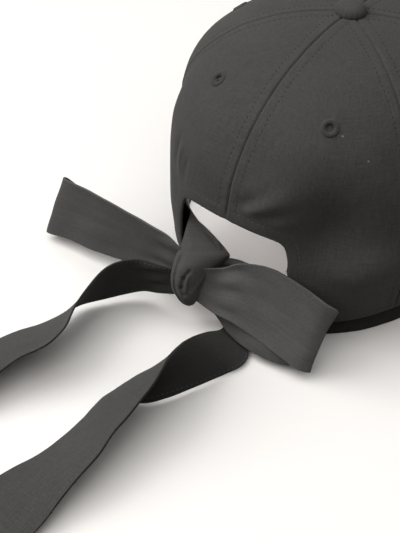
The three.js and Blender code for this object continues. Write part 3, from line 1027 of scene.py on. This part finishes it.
class CAP_OT_sweatband(bpy.types.Operator):
    """Makes the sweatband inside the rim, open behind"""

    bl_idname = "cap.sweatband"
    bl_label = "Sweatband"

    ends = 24
    slack, low_slack, flare = 1.2 * MM, 0.2 * MM, 9 * MM
    roll, roll_place, roll_width = 0.5, 3 * MM, 2.4 * MM
    ripple, ripple_scale, set_in = 0.25, 70, 0.3
    low_row, top_row, row_steps = 5.5 * MM, 3 * MM, 400
    length_steps, lowest = 260, 0.01 * MM
    proud, edge_roll = 0.4 * MM, 0.5 * MM
    grid, crowd = (260, 26), (0, 0.5)
    inside = Vector((0, 0, 16)) * MM

    def execute(self, context):
        size, trim = context.scene.cap_crown, context.scene.cap_trim
        crown = CrownShape(size)

        def band(u, v):
            around = self.ends + (360 - 2 * self.ends) * u
            z = v * trim.band_height
            p = crown.point(around, crown.way_up(max(z, self.lowest)))
            out = Vector((p.x, p.y, 0)).normalized()
            roll = self.roll * hill(z - self.roll_place, self.roll_width)
            roll += self.ripple * noise.noise(p * self.ripple_scale)
            slack = self.low_slack + (self.slack - self.low_slack) * min(1, z / self.flare)
            p += out * (-size.cloth - slack + (roll - self.set_in) * MM)
            p.z = z
            return p

        bm, _ = bent_grid(*self.grid, band, self.crowd)
        facing_out(bm, self.inside)
        surface = BVHTree.FromBMesh(bm)
        sewing = bmesh.new()
        for z in (self.low_row, trim.band_height - self.top_row):
            places = [band(i / self.row_steps, z / trim.band_height) for i in range(self.row_steps + 1)]
            stitch_row(sewing, surface, places, trim, trim.band_thickness, self.proud)
        piece = finished("sweatband_cloth", bm, Cloths.get("lining"), "lining", "sweatband")
        thicken(piece, trim.band_thickness)
        round_edges(piece, self.edge_roll, 2)
        # The sweatband's stitches take the dark thread, painted shade.
        thread = finished("sweatband_stitching", sewing, Cloths.get("thread"), "lining")
        length = run_length([band(i / self.length_steps, 0.5) for i in range(self.length_steps + 1)])
        return {"FINISHED"}


class RibbonShape:
    """A ribbon by shares across it and along it."""

    steps_between = 12
    gather_place, gather_width = 18 * MM, 8 * MM
    pleats, pleat_sway, sway_turn = 2.6, 0.35, 40
    slack, slack_scale = 0.9, 30
    ruffle, ruffle_scale = 0.25, 95
    tilt_step = 0.1

    def __init__(self, name, bow):
        rows = RIBBONS[name]
        self.count = (len(rows) - 1) * self.steps_between
        lows = [Vector(row.low) * MM for row in rows]
        highs = [Vector(row.high) * MM for row in rows]
        mids = [Vector(row.mid) * MM if row.mid else (a + b) / 2 for row, a, b in zip(rows, lows, highs)]
        shares = [i / self.count for i in range(self.count + 1)]
        self.low, self.high, self.mid = (
            [along_rows(edge, share) for share in shares] for edge in (lows, highs, mids)
        )
        self.cup = RIBBON_CUP.get(name, 0) * MM
        self.pleat = bow.pleat
        self.gathered = GATHERED[name]
        middles = [(a + b) / 2 for a, b in zip(self.low, self.high)]
        self.marks = [0.0]
        for a, b in zip(middles, middles[1:]):
            self.marks.append(self.marks[-1] + (b - a).length)
        self.seed = Vector((len(name) * 1.7, len(rows) * 0.9, 3))

    def flat(self, i, u):
        low, mid, high = self.low[i], self.mid[i], self.high[i]
        return low * ((1 - u) * (1 - 2 * u)) + mid * (4 * u * (1 - u)) + high * (u * (2 * u - 1))

    def point(self, u, v):
        i = min(round(v * self.count), self.count)
        before, after = max(i - 1, 0), min(i + 1, self.count)
        run = self.flat(after, u) - self.flat(before, u)
        tilt = self.flat(i, min(1, u + self.tilt_step)) - self.flat(i, max(0, u - self.tilt_step))
        out = run.cross(tilt).normalized()
        mark = self.marks[i]
        near = 0.0
        for gathered, run_in in zip(self.gathered, (mark, self.marks[-1] - mark)):
            if gathered:
                near += hill(run_in - self.gather_place, self.gather_width)
        p = self.flat(i, u)
        phase = self.pleats * u + self.pleat_sway * math.sin(mark * self.sway_turn)
        pleats = self.pleat * near * math.cos(2 * math.pi * phase)
        slack = self.slack * noise.noise(p * self.slack_scale + self.seed)
        slack += self.ruffle * noise.noise(p * self.ruffle_scale + self.seed)
        return p + out * (self.cup * 4 * u * (1 - u) + pleats + slack * MM)


class CAP_OT_ribbons(bpy.types.Operator):
    """Lays the ties, the loops of the bow and its tails, with stitched edges"""

    bl_idname = "cap.ribbons"
    bl_label = "Ribbons"

    proud, edge_roll = 0.45 * MM, 0.3 * MM
    columns, crowd, width_steps = 22, (0.45, 0), 8

    def execute(self, context):
        bow, trim = context.scene.cap_bow, context.scene.cap_trim
        for name in RIBBONS:
            shape = RibbonShape(name, bow)
            bm, _ = bent_grid(self.columns, shape.count, shape.point, self.crowd)
            surface = BVHTree.FromBMesh(bm)
            sewing = bmesh.new()
            for u in (bow.edge_stitch / bow.width, 1 - bow.edge_stitch / bow.width):
                places = [shape.point(u, i / shape.count) for i in range(shape.count + 1)]
                stitch_row(sewing, surface, places, trim, bow.thickness, self.proud, sunk=0)
            # Loops take the ribbon's own cloth; the ties and tails take its darker copies, painted shade.
            cloth = RIBBON_CLOTH.get(name, "ribbon")
            piece = finished(f"{name}_cloth", bm, Cloths.get(cloth), "ribbon", name)
            wall = thicken(piece, bow.thickness, 0)
            # The tails' two faces take two painted shades, the darker on the faces turned away from the
            # light.
            if cloth == "reverse":
                piece.data.materials.append(Cloths.get("tail"))
                wall.material_offset = 1
            round_edges(piece, self.edge_roll, 2)
            # The ribbon's stitches take the light thread, painted highlight.
            thread = finished(f"{name}_stitching", sewing, Cloths.get("edging"), "ribbon")
            held = "gathered" if all(GATHERED[name]) else "laid"
            across = [k / self.width_steps for k in range(self.width_steps + 1)]
            width = max(run_length([shape.flat(i, u) for u in across]) for i in range(shape.count + 1))
        return {"FINISHED"}


class KnotShape:
    """The knot and the tie's end that wraps it, in a frame that faces the back right and leans back."""

    centre = Vector((14, 109, 28.4)) * MM
    turn = math.radians(38.7)
    lean = math.radians(44)
    groove, groove_side, groove_width = 1.7, -0.76, 0.1
    groove_start, groove_full = -14, -8
    squareness, right_squareness = 0.7, 0.25

    def __init__(self):
        self.right = Vector((-math.cos(self.turn), -math.sin(self.turn), 0))
        flat = math.cos(self.lean)
        self.out = Vector((-math.sin(self.turn) * flat, math.cos(self.turn) * flat, math.sin(self.lean)))
        self.up = self.out.cross(self.right)
        self.rows = [Vector(row) for row in KNOT]

    def point(self, u, v):
        down, across, half, deep, out, skew = along_rows(self.rows, v, catmull)
        side, front = -math.cos(2 * math.pi * u), math.sin(2 * math.pi * u)
        x = across + half * side
        bulge = 0.0
        if front > 0:
            here = Vector((x, down))
            for fold in KNOT_FOLDS:
                bulge += fold.out * hill(near_crease(fold, here)[1], fold.wide)
            groove = hill(side - self.groove_side, self.groove_width)
            bulge -= self.groove * groove * smooth(self.groove_start, self.groove_full, down)
        full = self.squareness - self.right_squareness * smooth(0, 0.8, side)
        thick = deep * math.copysign(abs(front) ** full, front)
        z = out + skew * side + thick + bulge * smooth(0, 0.5, front)
        return self.centre + (self.right * x - self.up * down + self.out * z) * MM


class CAP_OT_knot(bpy.types.Operator):
    """Ties the knot of the bow"""

    bl_idname = "cap.knot"
    bl_label = "Knot"

    grid = (120, 110)

    def execute(self, context):
        shape = KnotShape()
        bm, _ = bent_grid(*self.grid, shape.point)
        bmesh.ops.remove_doubles(bm, verts=bm.verts, dist=MERGED)
        bmesh.ops.holes_fill(bm, edges=[e for e in bm.edges if e.is_boundary], sides=0)
        bmesh.ops.recalc_face_normals(bm, faces=bm.faces)
        # The knot's cloth is a darker copy of the loops' cloth, painted shade.
        finished("bow_knot_cloth", bm, Cloths.get("knot"), "ribbon", "bow_knot")
        return {"FINISHED"}


class CAP_OT_stage(bpy.types.Operator):
    """Sets the floor, the light and the camera"""

    bl_idname = "cap.stage"
    bl_label = "Stage"

    aim = Vector((28.6, 85.8, 9.1)) * MM
    floor_half, floor_gap = 3, 0.2 * MM
    floor_rough, floor_gloss = 0.9, 0.1
    sky_colour = (1, 0.99, 0.98, 1)

    def execute(self, context):
        scene, stage = context.scene, context.scene.cap_stage
        bm = bmesh.new()
        bmesh.ops.create_grid(bm, x_segments=8, y_segments=8, size=self.floor_half)
        mesh = bpy.data.meshes.new("floor")
        bm.to_mesh(mesh)
        bm.free()
        floor = bpy.data.objects.new("floor", mesh)
        floor.location.z = -self.floor_gap
        scene.collection.objects.link(floor)
        paper = Finish("floor_paper")
        paper.feed("Base Color", (*scene.cap_colour.floor, 1))
        paper.feed("Roughness", self.floor_rough)
        paper.feed("Specular IOR Level", self.floor_gloss)
        mesh.materials.append(paper.material)

        for lamp in LAMPS:
            light = bpy.data.lights.new(lamp.name, "AREA")
            light.energy = lamp.power
            light.size = lamp.size
            light.color = lamp.colour
            fitting = bpy.data.objects.new(lamp.name, light)
            fitting.location = lamp.place
            away = fitting.location - Vector(lamp.aim)
            fitting.rotation_euler = away.to_track_quat("Z", "Y").to_euler()
            fitting.visible_camera = False
            scene.collection.objects.link(fitting)
        world = bpy.data.worlds.new("studio")
        world.use_nodes = True
        sky = world.node_tree.nodes["Background"]
        sky.inputs["Color"].default_value = self.sky_colour
        sky.inputs["Strength"].default_value = stage.fill
        scene.world = world
        scene.view_settings.view_transform = "Standard"

        back = Vector((
            math.sin(stage.azimuth) * math.cos(stage.elevation),
            -math.cos(stage.azimuth) * math.cos(stage.elevation),
            math.sin(stage.elevation),
        ))
        lens = bpy.data.cameras.new("camera")
        lens.lens = stage.lens
        camera = bpy.data.objects.new("camera", lens)
        camera.location = self.aim + back * stage.distance
        camera.rotation_euler = back.to_track_quat("Z", "Y").to_euler()
        scene.collection.objects.link(camera)
        scene.camera = camera
        return {"FINISHED"}


class CAP_PT_sidebar(bpy.types.Panel):
    """Lists the pieces of the cap"""

    bl_idname = "CAP_PT_sidebar"
    bl_label = "Ribbon Cap"
    bl_space_type = "VIEW_3D"
    bl_region_type = "UI"
    bl_category = "Cap"

    def draw(self, context):
        for operator in OPERATORS:
            self.layout.operator(operator.bl_idname)


GROUPS = {
    "cap_crown": CAP_PG_crown, "cap_trim": CAP_PG_trim, "cap_bow": CAP_PG_bow, "cap_colour": CAP_PG_colour,
    "cap_stage": CAP_PG_stage,
}
OPERATORS = (
    CAP_OT_stage, CAP_OT_panels, CAP_OT_eyelets, CAP_OT_button, CAP_OT_peak, CAP_OT_sweatband,
    CAP_OT_ribbons, CAP_OT_knot,
)


def register():
    for group in GROUPS.values():
        bpy.utils.register_class(group)
    for operator in OPERATORS:
        bpy.utils.register_class(operator)
    bpy.utils.register_class(CAP_PT_sidebar)
    for name, group in GROUPS.items():
        setattr(bpy.types.Scene, name, PointerProperty(type=group))


def unregister():
    for name in GROUPS:
        delattr(bpy.types.Scene, name)
    for made in (CAP_PT_sidebar, *reversed(OPERATORS), *reversed(GROUPS.values())):
        bpy.utils.unregister_class(made)


def main():
    register()
    for operator in OPERATORS:
        getattr(bpy.ops.cap, operator.bl_idname.partition(".")[2])()


if __name__ == "__main__":
    main()
